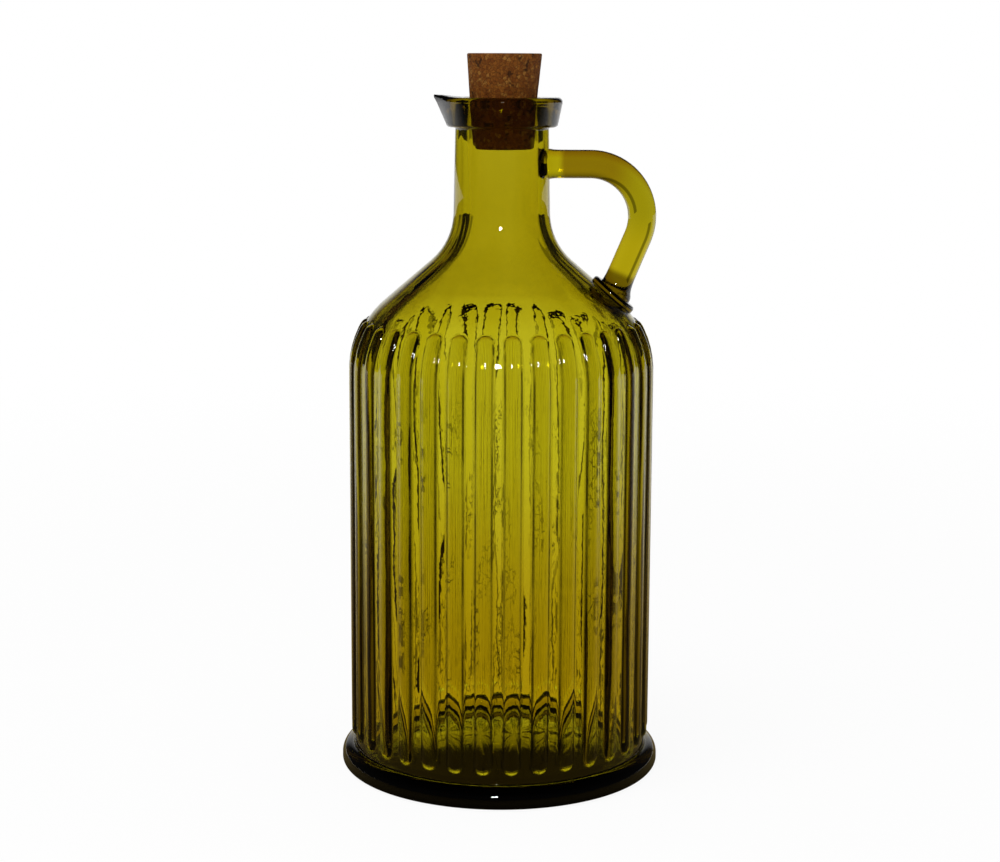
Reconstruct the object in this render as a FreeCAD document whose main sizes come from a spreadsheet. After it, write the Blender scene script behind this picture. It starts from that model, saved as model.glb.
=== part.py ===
import FreeCAD, Part
import Sketcher
import math
import os
import re

# Oil cruet: a ribbed bottle of thick green glass with a rod handle, a wide pouring collar
# and a tapered cork stopper.  Millimetres, +Z up, origin on the bottle's axis at the surface
# it stands on.  The handle is on +X, the pouring lip on -X.

doc = FreeCAD.newDocument("oil_cruet")

# ---- driving dimensions -------------------------------------------------------------------
DIMENSIONS = (
    # the standing ring: a heavy bead round the bottom, proud of the wall and hollow underneath
    ("foot_proud", 5), ("foot_height", 8.4), ("foot_round_low", 2.2), ("foot_round_top", 4.8),
    ("rest_inset", 17.5), ("hollow_depth", 6),
    # the body: a straight wall that rolls over into a sloping shoulder
    ("body_radius", 58.5), ("body_height", 175.6), ("shoulder_rise", 33.9), ("shoulder_round", 36),
    ("wall", 4.2), ("heel_height", 4), ("floor_thickness", 4.2), ("floor_round", 4),
    # the neck, and the collar round the mouth
    ("neck_base_radius", 19), ("neck_length", 44.1), ("neck_round", 25), ("neck_taper", 0.9),
    ("neck_wall", 5.1), ("throat_depth", 9), ("throat_land", 2.5), ("mouth_round", 2),
    ("collar_proud", 3.3), ("collar_flare", 2.3), ("collar_height", 11.4),
    ("collar_round_low", 1.5), ("collar_round_top", 1.8),
    # the pouring lip drawn out of the collar
    ("lip_proud", 2.7), ("lip_low_inset", 0.6), ("lip_nose", 2.4), ("lip_spread", 29),
    ("lip_rise", 0.9), ("gutter_radius", 1.8), ("gutter_depth", 0.8), ("gutter_fall", 8),
    # the ribs: round bars sunk in the wall, each with a ball at either end
    ("rib_count", 34), ("rib_section", 4), ("rib_tip_over", 0.06), ("rib_proud", 1.45),
    ("rib_start", 7.2), ("rib_wrap", 28.6),
    # the handle: a bent rod from the neck to a pad on the shoulder
    ("rod_radius", 5.5), ("handle_drop", 14), ("handle_over", 1.5), ("handle_bend", 20.2),
    ("handle_foot_inset", 15.2), ("handle_root", 1),
    ("pad_margin", 4.5), ("pad_proud", 2), ("pad_round", 1), ("pad_sunk", 3),
    # the cork stopper, pressed a little to one side in the throat
    ("stopper_slack", 2.5), ("stopper_spread", 3.05), ("stopper_length", 36.4),
    ("stopper_depth", 19.8), ("stopper_edge", 0.5), ("stopper_gap", 0.15), ("stopper_shift", 0.4),
    # what a rounding leaves of the flat beside it
    ("spare_flat", 0.2),
)

sheet = doc.addObject("Spreadsheet::Sheet", "sizes")
for row, (alias, size) in enumerate(DIMENSIONS, start=1):
    sheet.set(f"A{row}", alias)
    sheet.set(f"B{row}", str(size))
    sheet.setAlias(f"B{row}", alias)
doc.recompute()


# ---- worked-out sizes ---------------------------------------------------------------------
WORKED_OUT = {
    "foot_radius": "#body_radius + #foot_proud",
    "foot_top_rounding": "min(#foot_round_top; #foot_proud - #spare_flat;"
                         " #foot_height - #foot_round_low - #spare_flat)",
    "rest_radius": "#foot_radius - #rest_inset",
    "hollow_ball": "(#rest_radius * #rest_radius + #hollow_depth * #hollow_depth) / (2 * #hollow_depth)",
    "floor_ball": "#hollow_ball + #floor_thickness",
    "neck_corner": "#body_height + #shoulder_rise",
    "slope": "#shoulder_rise / (#body_radius - #neck_base_radius)",
    "turn": "atan(1 / #slope)",
    "shoulder_start": "#body_height - #shoulder_round * tan(#turn / 2)",
    "neck_top_radius": "#neck_base_radius - #neck_taper",
    "bore_radius": "#neck_base_radius - #neck_wall",
    "inner_radius": "#body_radius - #wall",
    "inner_corner": "#body_height - #wall * tan(#turn / 2)",
    "bore_corner": "#inner_corner + (#inner_radius - #bore_radius) * #slope",
    "collar_low": "#neck_corner + #neck_length",
    "collar_low_radius": "#neck_top_radius + #collar_proud",
    "collar_top_radius": "#collar_low_radius + #collar_flare",
    "rim": "#collar_low + #collar_height",
    "throat_low": "#rim - #throat_depth",
    "throat_high": "#rim - #throat_land",
    "lip_reach": "#collar_top_radius + #lip_proud",
    "lip_low_reach": "#collar_low_radius - #lip_low_inset",
    "rib_low": "#foot_height + #rib_start",
    "rib_tip": "#rib_section + #rib_tip_over",
    "rib_sink": "#rib_section - #rib_proud",
    "handle_height": "#collar_low - #handle_drop",
    "handle_reach": "#body_radius + #handle_over",
    "handle_foot": "#body_radius - #handle_foot_inset",
    "handle_start": "#bore_radius + #handle_root",
    "foot_point": "#body_height + #handle_foot_inset * #slope",
    "pad_radius": "#rod_radius + #pad_margin",
    "pad_lean": "90 deg - #turn",
    "stopper_low": "#rim - #stopper_depth",
    "stopper_top": "#stopper_low + #stopper_length",
    "stopper_low_radius": "#bore_radius - #stopper_slack",
    "stopper_top_radius": "#stopper_low_radius + #stopper_spread",
    "stopper_at_throat": "#stopper_low_radius"
                         " + (#throat_high - #stopper_low) * #stopper_spread / #stopper_length",
    "throat_radius": "#stopper_at_throat + #stopper_shift + #stopper_gap",
}


def size(text):
    """An expression on the sheet: each #name is a cell, or a worked-out size in brackets."""
    def put_in(match):
        name = match.group(1)
        return f"({size(WORKED_OUT[name])})" if name in WORKED_OUT else f"sizes.{name}"
    return re.sub(r"#(\w+)", put_in, text)


def number(expression):
    """The value of an expression on the sheet."""
    value = sheet.evalExpression(expression)
    return float(getattr(value, "Value", value))


# ---- helpers for bodies and sketches ------------------------------------------------------
def new_body(label):
    body = doc.addObject("PartDesign::Body", label)
    body.Label = label
    body.Placement = FreeCAD.Placement()
    return body


def origin_plane(body, role):
    return next(feature for feature in body.Origin.OriginFeatures if feature.Role == role)


def new_sketch(body, name, role="XZ_Plane", height=None):
    """A sketch on one of the body's origin planes, lifted to a height where one is given."""
    sketch = body.newObject("Sketcher::SketchObject", name)
    sketch.AttachmentSupport = [(origin_plane(body, role), "")]
    sketch.MapMode = "FlatFace"
    if height:
        sketch.setExpression("AttachmentOffset.Base.z", height)
    return sketch


def drive(sketch, expression, kind, *points):
    """A dimension of a sketch that follows an expression on the sheet."""
    value = number(expression)
    if kind == "Angle":
        value = math.radians(value)
    index = sketch.addConstraint(Sketcher.Constraint(kind, *points, value))
    sketch.setExpression(f"Constraints[{index}]", expression)


def pin(sketch, geometry, end, across, up):
    """Hold a point at two expressions on the sheet; None puts it on the sketch's axis."""
    for kind, axis, expression in (("DistanceX", -2, across), ("DistanceY", -1, up)):
        if expression is None:
            sketch.addConstraint(Sketcher.Constraint("PointOnObject", geometry, end, axis))
        else:
            drive(sketch, expression, kind, -1, 1, geometry, end)


def join(sketch, first, second):
    """End of one line or arc on the start of the next."""
    sketch.addConstraint(Sketcher.Constraint("Coincident", first, 2, second, 1))


def polygon(sketch, corners):
    """A closed outline of straight lines with every corner on expressions of the sheet."""
    spots = [FreeCAD.Vector(number(across or "0"), number(up or "0"), 0) for across, up in corners]
    for index, spot in enumerate(spots):
        sketch.addGeometry(Part.LineSegment(spot, spots[(index + 1) % len(spots)]), False)
    for index, (across, up) in enumerate(corners):
        join(sketch, index - 1 if index else len(spots) - 1, index)
        pin(sketch, index, 1, across, up)


def turned(body, kind, name, sketch):
    """A full turn of a sketch about the bottle's axis."""
    feature = body.newObject(kind, name)
    feature.Profile = sketch
    feature.ReferenceAxis = (sketch, ["V_Axis"])
    feature.Angle = 360
    doc.recompute()
    return feature


def ring_names(shape, radius, height):
    """The circular edges about the axis of the body with this radius and height."""
    names = []
    for index, edge in enumerate(shape.Edges, start=1):
        curve = None if edge.Degenerated else edge.Curve
        if not isinstance(curve, Part.Circle) or abs(curve.Axis.z) < 0.999:
            continue
        off_axis = math.hypot(curve.Center.x, curve.Center.y)
        if off_axis < 0.01 and abs(curve.Radius - radius) < 0.01 and abs(curve.Center.z - height) < 0.01:
            names.append(f"Edge{index}")
    return names


def round_ring(body, name, radius, across, up):
    """Round the ring that a corner of a turned outline has made."""
    base = body.Tip
    rings = ring_names(base.Shape, number(across), number(up))
    if not rings:
        raise RuntimeError(f"no ring to round for {name}")
    fillet = body.newObject("PartDesign::Fillet", name)
    fillet.Base = (base, rings)
    fillet.setExpression("Radius", size(radius))
    doc.recompute()


def sphere(body, kind, name, radius, across, up):
    """A ball added to or cut from the body, centred in the XZ plane."""
    ball = body.newObject(kind, name)
    ball.AttachmentSupport = [(origin_plane(body, "XY_Plane"), "")]
    ball.MapMode = "FlatFace"
    ball.setExpression("Radius", radius)
    if across:
        ball.setExpression("AttachmentOffset.Base.x", across)
    ball.setExpression("AttachmentOffset.Base.z", up)
    doc.recompute()
    return ball


def circle(sketch, across, up, radius):
    """A circle with its centre and radius on expressions of the sheet."""
    place = FreeCAD.Vector(number(across or "0"), number(up or "0"), 0)
    sketch.addGeometry(Part.Circle(place, FreeCAD.Vector(0, 0, 1), number(radius)), False)
    pin(sketch, 0, 3, across, up)
    drive(sketch, radius, "Radius", 0)


def pipe(body, name, profile, spine, edges):
    """A sketched section swept along the first few edges of another sketch."""
    swept = body.newObject("PartDesign::AdditivePipe", name)
    swept.Profile = profile
    swept.Spine = (spine, [f"Edge{index}" for index in range(1, edges + 1)])
    doc.recompute()
    return swept


# ---- the bottle's turned blank ------------------------------------------------------------
def add_blank(body):
    section = new_sketch(body, "bottle_section")
    polygon(section, (
        (None, None),
        (size("#foot_radius"), None),
        (size("#foot_radius"), size("#foot_height")),
        (size("#body_radius"), size("#foot_height")),
        (size("#body_radius"), size("#body_height")),
        (size("#neck_base_radius"), size("#neck_corner")),
        (size("#neck_top_radius"), size("#collar_low")),
        (size("#collar_low_radius"), size("#collar_low")),
        (size("#collar_top_radius"), size("#rim")),
        (None, size("#rim")),
    ))
    turned(body, "PartDesign::Revolution", "bottle_blank", section)
    for name, radius, across, up in (
        ("shoulder_rounding", "#shoulder_round", "#body_radius", "#body_height"),
        ("neck_rounding", "#neck_round", "#neck_base_radius", "#neck_corner"),
        ("foot_low_rounding", "#foot_round_low", "#foot_radius", "0"),
        ("foot_top_rounding", "#foot_top_rounding", "#foot_radius", "#foot_height"),
        ("collar_low_rounding", "#collar_round_low", "#collar_low_radius", "#collar_low"),
        ("collar_top_rounding", "#collar_round_top", "#collar_top_radius", "#rim"),
    ):
        round_ring(body, name, radius, size(across), size(up))


def all_round(body, name, feature, section):
    """One rib's feature repeated for every rib."""
    ring = body.newObject("PartDesign::PolarPattern", name)
    ring.Originals = [feature]
    ring.Axis = (section, ["N_Axis"])
    ring.Angle = 360
    ring.setExpression("Occurrences", size("#rib_count"))
    body.Tip = ring
    doc.recompute()


# ---- the ribs, from just above the foot to part way over the shoulder ---------------------
def add_ribs(body):
    path_radius = size("(#body_radius - #rib_sink)")
    bend = size("(#shoulder_round - #rib_sink)")
    centre_radius = size("(#body_radius - #shoulder_round)")

    section = new_sketch(body, "rib_section_sketch", "XY_Plane", size("#rib_low"))
    circle(section, path_radius, None, size("#rib_section"))

    spine = new_sketch(body, "rib_path")
    low = FreeCAD.Vector(number(path_radius), number(size("#rib_low")), 0)
    high = FreeCAD.Vector(number(path_radius), number(size("#shoulder_start")), 0)
    centre = FreeCAD.Vector(number(centre_radius), number(size("#shoulder_start")), 0)
    roll = Part.Circle(centre, FreeCAD.Vector(0, 0, 1), number(bend))
    wrap = math.radians(number(size("#rib_wrap")))
    spine.addGeometry(Part.LineSegment(low, high), False)
    spine.addGeometry(Part.ArcOfCircle(roll, 0, wrap), False)
    pin(spine, 0, 1, path_radius, size("#rib_low"))
    pin(spine, 1, 3, centre_radius, size("#shoulder_start"))
    pin(spine, 1, 1, path_radius, size("#shoulder_start"))
    join(spine, 0, 1)
    drive(spine, size("#rib_wrap"), "Angle", 1)

    bar = pipe(body, "rib_bar", section, spine, 2)
    all_round(body, "rib_bars", bar, section)
    low_tip = sphere(body, "PartDesign::AdditiveSphere", "rib_low_tip",
                     size("#rib_tip"), path_radius, size("#rib_low"))
    all_round(body, "rib_low_tips", low_tip, section)
    high_tip = sphere(body, "PartDesign::AdditiveSphere", "rib_high_tip", size("#rib_tip"),
                      size(f"{centre_radius} + {bend} * cos(#rib_wrap)"),
                      size(f"#shoulder_start + {bend} * sin(#rib_wrap)"))
    all_round(body, "rib_high_tips", high_tip, section)


# ---- the handle: a rod from the neck, bent over and down to its pad -----------------------
def leg_lean(centre, foot, bend):
    """The angle past level at which the bend must stop for a straight leg to reach the foot."""
    across, down = foot.x - centre.x, centre.y - foot.y
    return math.atan2(down, across) - math.acos(bend / math.hypot(across, down))


def add_handle(body):
    start = size("#handle_start")
    bend_centre = size("(#handle_reach - #rod_radius - #handle_bend)")
    bend_height = size("(#handle_height - #handle_bend)")

    spine = new_sketch(body, "handle_path")
    top = FreeCAD.Vector(number(bend_centre), number(size("#handle_height")), 0)
    foot = FreeCAD.Vector(number(size("#handle_foot")), number(size("#foot_point")), 0)
    centre = FreeCAD.Vector(number(bend_centre), number(bend_height), 0)
    roll = Part.Circle(centre, FreeCAD.Vector(0, 0, 1), number(size("#handle_bend")))
    arc = Part.ArcOfCircle(roll, -leg_lean(centre, foot, roll.Radius), math.pi / 2)
    spine.addGeometry(Part.LineSegment(foot, arc.StartPoint), False)
    spine.addGeometry(arc, False)
    spine.addGeometry(Part.LineSegment(top, FreeCAD.Vector(number(start), top.y, 0)), False)
    pin(spine, 0, 1, size("#handle_foot"), size("#foot_point"))
    pin(spine, 1, 3, bend_centre, bend_height)
    pin(spine, 2, 1, bend_centre, size("#handle_height"))
    pin(spine, 2, 2, start, size("#handle_height"))
    join(spine, 1, 2)
    spine.addConstraint(Sketcher.Constraint("Tangent", 0, 2, 1, 1))

    section = new_sketch(body, "handle_section", "YZ_Plane", start)
    circle(section, None, size("#handle_height"), size("#rod_radius"))
    pipe(body, "handle_rod", section, spine, 3)


def add_pad(body):
    """A thick round button, square to the shoulder, that the handle's foot stands on."""
    button = body.newObject("PartDesign::AdditiveCylinder", "handle_pad")
    button.AttachmentSupport = [(origin_plane(body, "XY_Plane"), "")]
    button.MapMode = "FlatFace"
    lean = size("#pad_lean")
    button.setExpression("Radius", size("#pad_radius"))
    button.setExpression("Height", size("#pad_proud + #pad_sunk"))
    button.setExpression("AttachmentOffset.Base.x", size("#handle_foot - #pad_sunk * sin(#pad_lean)"))
    button.setExpression("AttachmentOffset.Base.z", size("#foot_point - #pad_sunk * cos(#pad_lean)"))
    button.AttachmentOffset = FreeCAD.Placement(
        button.AttachmentOffset.Base, FreeCAD.Rotation(FreeCAD.Vector(0, 1, 0), number(lean)))
    doc.recompute()
    rim = [f"Edge{index}" for index, edge in enumerate(button.Shape.Edges, start=1)
           if isinstance(edge.Curve, Part.Circle) and edge.Curve.Axis.z < 0.99
           and abs(edge.Curve.Radius - number(size("#pad_radius"))) < 0.01]
    fillet = body.newObject("PartDesign::Fillet", "handle_pad_rounding")
    fillet.Base = (button, rim)
    fillet.setExpression("Radius", size("#pad_round"))
    doc.recompute()


# ---- the pouring lip: a wedge with a round nose, drawn out and up from the collar ----------
def lip_section(body, name, height, collar_radius, reach):
    """The lip's plan at one height: two flanks that leave the collar and meet in a round nose."""
    plan = new_sketch(body, name, "XY_Plane", height)
    root_across = f"({collar_radius} * cos(sizes.lip_spread))"
    root_out = f"({collar_radius} * sin(sizes.lip_spread))"
    nose_centre = size(f"({reach} - #lip_nose)")
    far, out = -number(root_across), number(root_out)
    nose = Part.Circle(FreeCAD.Vector(-number(nose_centre), 0, 0), FreeCAD.Vector(0, 0, 1),
                       number(size("#lip_nose")))
    spread = math.radians(90 - number(size("#lip_spread")))
    arc = Part.ArcOfCircle(nose, math.pi - spread, math.pi + spread)
    plan.addGeometry(Part.LineSegment(FreeCAD.Vector(far, -out, 0), FreeCAD.Vector(far, out, 0)), False)
    plan.addGeometry(Part.LineSegment(FreeCAD.Vector(far, out, 0), arc.StartPoint), False)
    plan.addGeometry(arc, False)
    plan.addGeometry(Part.LineSegment(arc.EndPoint, FreeCAD.Vector(far, -out, 0)), False)
    join(plan, 0, 1)
    join(plan, 3, 0)
    drive(plan, root_across, "DistanceX", 0, 1, -1, 1)
    drive(plan, root_out, "DistanceY", -1, 1, 0, 2)
    plan.addConstraint(Sketcher.Constraint("Symmetric", 0, 1, 0, 2, -1))
    plan.addConstraint(Sketcher.Constraint("PointOnObject", 2, 3, -1))
    drive(plan, nose_centre, "DistanceX", 2, 3, -1, 1)
    drive(plan, size("#lip_nose"), "Radius", 2)
    plan.addConstraint(Sketcher.Constraint("Tangent", 1, 2, 2, 1))
    plan.addConstraint(Sketcher.Constraint("Tangent", 2, 2, 3, 1))
    return plan


def add_lip(body):
    low = lip_section(body, "lip_low_plan", size("(#collar_low + #collar_round_low)"),
                      size("#collar_low_radius"), size("#lip_low_reach"))
    high = lip_section(body, "lip_high_plan", size("(#rim + #lip_rise)"),
                       size("#collar_top_radius"), size("#lip_reach"))
    lip = body.newObject("PartDesign::AdditiveLoft", "pouring_lip")
    lip.Profile = low
    lip.Sections = [high]
    lip.Ruled = True
    doc.recompute()


# ---- what is hollow: the inside, the underside and the gutter in the lip -------------------
def cut_inside(body):
    """The hollow is a turned solid with its own roundings and a domed floor, taken out in one cut."""
    hollow = new_body("bottle_hollow")
    section = new_sketch(hollow, "hollow_section")
    polygon(section, (
        (None, size("#heel_height")),
        (size("#inner_radius"), size("#heel_height")),
        (size("#inner_radius"), size("#inner_corner")),
        (size("#bore_radius"), size("#bore_corner")),
        (size("#bore_radius"), size("#throat_low")),
        (size("#throat_radius"), size("#throat_high")),
        (size("#throat_radius"), size("#rim")),
        (None, size("#rim")),
    ))
    turned(hollow, "PartDesign::Revolution", "hollow_turned", section)
    for name, radius, across, up in (
        ("hollow_floor_rounding", "#floor_round", "#inner_radius", "#heel_height"),
        ("hollow_shoulder_rounding", "#shoulder_round - #wall", "#inner_radius", "#inner_corner"),
        ("hollow_neck_rounding", "#neck_round + #wall", "#bore_radius", "#bore_corner"),
    ):
        round_ring(hollow, name, radius, size(across), size(up))
    sphere(hollow, "PartDesign::SubtractiveSphere", "floor_dome", size("#floor_ball"), None,
           size("#hollow_depth - #hollow_ball"))
    cut = body.newObject("PartDesign::Boolean", "inside")
    cut.Type = "Cut"
    cut.setObjects([hollow])
    doc.recompute()
    round_ring(body, "mouth_rounding", "#mouth_round", size("#throat_radius"), size("#rim"))


def cut_underside(body):
    """A shallow dome, so that the bottle stands on a ring."""
    sphere(body, "PartDesign::SubtractiveSphere", "underside", size("#hollow_ball"), None,
           size("#hollow_depth - #hollow_ball"))


def cut_gutter(body):
    """A round gutter from the mouth out over the lip, rising to the nose."""
    gutter = body.newObject("PartDesign::SubtractiveCylinder", "lip_gutter")
    gutter.AttachmentSupport = [(origin_plane(body, "XY_Plane"), "")]
    gutter.MapMode = "FlatFace"
    gutter.setExpression("Radius", size("#gutter_radius"))
    gutter.setExpression("Height", size("#lip_reach + #lip_nose"))
    gutter.setExpression("AttachmentOffset.Base.z", size(
        "#rim + #lip_rise - #gutter_depth + #gutter_radius - #lip_reach * tan(#gutter_fall)"))
    gutter.AttachmentOffset = FreeCAD.Placement(
        gutter.AttachmentOffset.Base,
        FreeCAD.Rotation(FreeCAD.Vector(0, 1, 0), -90 + number(size("#gutter_fall"))))
    doc.recompute()


# ---- the cork stopper ---------------------------------------------------------------------
def add_stopper(body):
    section = new_sketch(body, "stopper_section")
    polygon(section, (
        (None, size("#stopper_low")),
        (size("#stopper_low_radius"), size("#stopper_low")),
        (size("#stopper_top_radius"), size("#stopper_top")),
        (None, size("#stopper_top")),
    ))
    turned(body, "PartDesign::Revolution", "stopper_taper", section)
    for name, across, up in (
        ("stopper_low_edge", "#stopper_low_radius", "#stopper_low"),
        ("stopper_top_edge", "#stopper_top_radius", "#stopper_top"),
    ):
        round_ring(body, name, "#stopper_edge", size(across), size(up))
    body.setExpression("Placement.Base.x", size("#stopper_shift"))


# ---- the document ---------------------------------------------------------------------------
bottle = new_body("glass_bottle")
for step in (add_blank, add_ribs, add_handle, add_pad, cut_inside, add_lip, cut_gutter, cut_underside):
    step(bottle)
stopper = new_body("cork_stopper")
add_stopper(stopper)
doc.recompute()

failed = [item.Name for item in doc.Objects if {"Invalid", "Error"} & set(item.State)]
if failed:
    raise RuntimeError(f"these objects did not build: {failed}")
for piece in (bottle, stopper):
    if piece.Shape.isNull() or not piece.Shape.isValid() or len(piece.Shape.Solids) != 1:
        raise RuntimeError(f"{piece.Label} is not one sound solid")

os.makedirs("parts", exist_ok=True)
for piece in (bottle, stopper):
    piece.Shape.exportStep(f"parts/{piece.Label}.step")
    print(f"{piece.Label}: {piece.Shape.Volume / 1000:.2f} cm3")
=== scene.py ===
import math
import bpy
import bmesh
import numpy as np
from mathutils import Matrix, Vector


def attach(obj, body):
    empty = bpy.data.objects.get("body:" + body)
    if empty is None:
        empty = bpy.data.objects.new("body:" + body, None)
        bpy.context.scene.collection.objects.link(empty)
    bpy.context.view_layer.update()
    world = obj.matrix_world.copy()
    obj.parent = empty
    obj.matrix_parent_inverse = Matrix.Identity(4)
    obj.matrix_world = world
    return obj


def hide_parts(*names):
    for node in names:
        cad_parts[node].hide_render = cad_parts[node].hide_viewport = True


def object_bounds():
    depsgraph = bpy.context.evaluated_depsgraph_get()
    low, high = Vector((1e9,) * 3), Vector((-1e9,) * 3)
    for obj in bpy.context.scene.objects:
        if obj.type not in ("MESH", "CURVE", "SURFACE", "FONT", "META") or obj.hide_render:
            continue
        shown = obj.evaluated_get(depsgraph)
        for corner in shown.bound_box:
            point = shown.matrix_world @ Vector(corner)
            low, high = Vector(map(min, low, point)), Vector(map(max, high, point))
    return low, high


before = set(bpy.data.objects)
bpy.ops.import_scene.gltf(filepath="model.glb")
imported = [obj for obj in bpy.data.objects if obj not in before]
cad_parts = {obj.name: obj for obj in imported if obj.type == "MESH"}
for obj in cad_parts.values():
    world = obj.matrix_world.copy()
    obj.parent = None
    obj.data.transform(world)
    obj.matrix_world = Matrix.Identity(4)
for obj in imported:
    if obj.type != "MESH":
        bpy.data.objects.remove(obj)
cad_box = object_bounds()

MM = 0.001
scene = bpy.context.scene


# ---- the camera ---------------------------------------------------------------------------
# A long lens a little under a metre from the bottle, as high as the cork and looking
# slightly down, standing a touch towards the handle's side.
LENS, SENSOR = 74.2, 36.0
CAMERA_BACK, CAMERA_UP, CAMERA_ASIDE = 803.5 * MM, 277.6 * MM, -0.32 * MM
CAMERA_DOWN, CAMERA_ROLL, CAMERA_TURN = (math.radians(angle) for angle in (10.1, 0.25, 0.85))

lens = bpy.data.cameras.new("lens")
lens.lens, lens.sensor_width = LENS, SENSOR
lens.clip_start, lens.clip_end = 0.01, 50
camera = bpy.data.objects.new("camera", lens)
camera.matrix_world = (
    Matrix.Rotation(CAMERA_TURN, 4, "Z")
    @ Matrix.Translation((CAMERA_ASIDE, -CAMERA_BACK, CAMERA_UP))
    @ Matrix.Rotation(math.radians(90) - CAMERA_DOWN, 4, "X")
    @ Matrix.Rotation(CAMERA_ROLL, 4, "Z"))
scene.collection.objects.link(camera)
scene.camera = camera
scene.view_settings.view_transform = "Standard"
scene.cycles.max_bounces = 24
scene.cycles.transmission_bounces = 24
scene.cycles.glossy_bounces = 16


# ---- shader nodes -------------------------------------------------------------------------
class Socket:
    """A node's output, with the arithmetic that the finishes below are written in."""

    def __init__(self, tree, out):
        self.tree, self.out = tree, out

    def node(self, kind, settings=None, output=0, **inputs):
        """A new node's output; an input is named, or numbered as in _0 where names repeat."""
        made = self.tree.nodes.new(kind)
        for name, value in (settings or {}).items():
            setattr(made, name, value)
        for name, value in inputs.items():
            slot = int(name[1:]) if name[0] == "_" else name.replace("_", " ")
            target = made.inputs[slot]
            if isinstance(value, Socket):
                self.tree.links.new(value.out, target)
            else:
                target.default_value = value
        return Socket(self.tree, made.outputs[output])

    def maths(self, operation, *values):
        inputs = {f"_{index}": value for index, value in enumerate(values)}
        return self.node("ShaderNodeMath", {"operation": operation}, **inputs)

    def __add__(self, other):
        return self.maths("ADD", self, other)

    def __sub__(self, other):
        return self.maths("SUBTRACT", self, other)

    def __mul__(self, other):
        return self.maths("MULTIPLY", self, other)

    def __truediv__(self, other):
        return self.maths("DIVIDE", self, other)

    def __rsub__(self, other):
        return self.maths("SUBTRACT", other, self)

    def __pow__(self, other):
        return self.maths("POWER", self, other)

    __radd__ = __add__

    def ramp(self, low, high):
        """0 below low, 1 above high, smooth between."""
        settings = {"interpolation_type": "SMOOTHSTEP"}
        return self.node("ShaderNodeMapRange", settings, Value=self, From_Min=low, From_Max=high)

    def blend(self, first, second):
        """One colour, going over to another where this mask is 1."""
        return self.node("ShaderNodeMix", {"data_type": "RGBA"}, 2, _0=self, _6=first, _7=second)


def nodes_of(tree):
    """An empty node tree, held by a Socket that has no output yet."""
    tree.nodes.clear()
    return Socket(tree, None)


def finish_tree(start, kind, **shaders):
    """The tree's output node of this kind, with these shaders plugged into it."""
    end = start.tree.nodes.new(kind)
    for name, shader in shaders.items():
        start.tree.links.new(shader.out, end.inputs[name])


# ---- the room: a pale floor and a white surround ------------------------------------------
# A plain pale table top in a white studio, lit from behind the bottle.  What is seen through
# the glass is a ring of white screens with dim gaps between them; light turned back off or
# inside the glass finds only the far side lit.  The room is dimmer high up.
ROOM_LIGHT, ROOM_UNLIT_SIDE, ROOM_LIT_SIDE, ROOM_OVERHEAD = 0.62, 0.02, 0.85, 0.25
OVERHEAD_FROM, OVERHEAD_TO, LIT_FROM, LIT_TO = 0.2, 0.95, 0.86, 0.995
SCREENS, SCREEN_GAP, SCREEN_EDGE, GAP_LEVEL = 8, -0.9, -0.55, 0.4


def path_kinds(start):
    """Masks for a ray: straight from the eye, through glass only, and turned back by glass."""
    path = {name: start.node("ShaderNodeLightPath", None, name) for name in (
        "Is Camera Ray", "Is Glossy Ray", "Is Transmission Ray", "Glossy Depth")}
    turned_back = start.maths("MINIMUM", path["Glossy Depth"], 1.0)
    through = path["Is Transmission Ray"] * (1 - turned_back)
    shiny = start.maths("MAXIMUM", path["Is Glossy Ray"], path["Is Transmission Ray"])
    mirrored = shiny * (1 - through)
    return path["Is Camera Ray"], through, mirrored


world = bpy.data.worlds.new("room")
scene.world = world
world.use_nodes = True
start = nodes_of(world.node_tree)
eye, through, mirrored = path_kinds(start)
towards = start.node("ShaderNodeTexCoord", None, "Generated")
across = start.node("ShaderNodeSeparateXYZ", None, "Y", Vector=towards)
upward = start.maths("ABSOLUTE", start.node("ShaderNodeSeparateXYZ", None, "Z", Vector=towards))
level = 1 - upward.ramp(OVERHEAD_FROM, OVERHEAD_TO) * (1 - ROOM_OVERHEAD)
aside = start.node("ShaderNodeSeparateXYZ", None, "X", Vector=towards)
screen = start.maths("COSINE", start.maths("ARCTAN2", aside, across) * SCREENS)
screen = GAP_LEVEL + screen.ramp(SCREEN_GAP, SCREEN_EDGE) * (1 - GAP_LEVEL)
lit_side = ROOM_UNLIT_SIDE + across.ramp(LIT_FROM, LIT_TO) * (ROOM_LIT_SIDE - ROOM_UNLIT_SIDE)
matt = 1 - start.maths("MINIMUM", eye + through + mirrored, 1.0)
strength = eye + through * level * screen + mirrored * level * lit_side + matt * ROOM_LIGHT
surround = start.node("ShaderNodeBackground", Color=(1, 1, 1, 1), Strength=strength)
finish_tree(start, "ShaderNodeOutputWorld", Surface=surround)

# the table top, in metres from the bottle's axis: seen through the glass it is shaded in the
# glass's own colour near the foot, dark under the bottle's front half and olive under its back
FLOOR_REACH, FLOOR_DROP, FLOOR_TINT = 6.0, 0.0002, (0.9, 0.9, 0.9, 1)
FLOOR_SHADE_NEAR, FLOOR_SHADE_FAR, FLOOR_WHITE_NEAR = 0.25, 1.1, 0.92
FLOOR_LIT_FROM, FLOOR_LIT_TO = -0.2, 0.5
GLASSY_SHADOW, SHADOW_NEAR, SHADOW_FAR = (0.76, 0.57, 0.22, 1), 0.05, 0.75
UNDER_DARK, UNDER_LIT = (0.017, 0.012, 0.004, 1), (0.42, 0.36, 0.1, 1)
UNDER_FRONT, UNDER_BACK, UNDER_FROM, UNDER_TO = 0.003, 0.02, 0.058, 0.072

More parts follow.
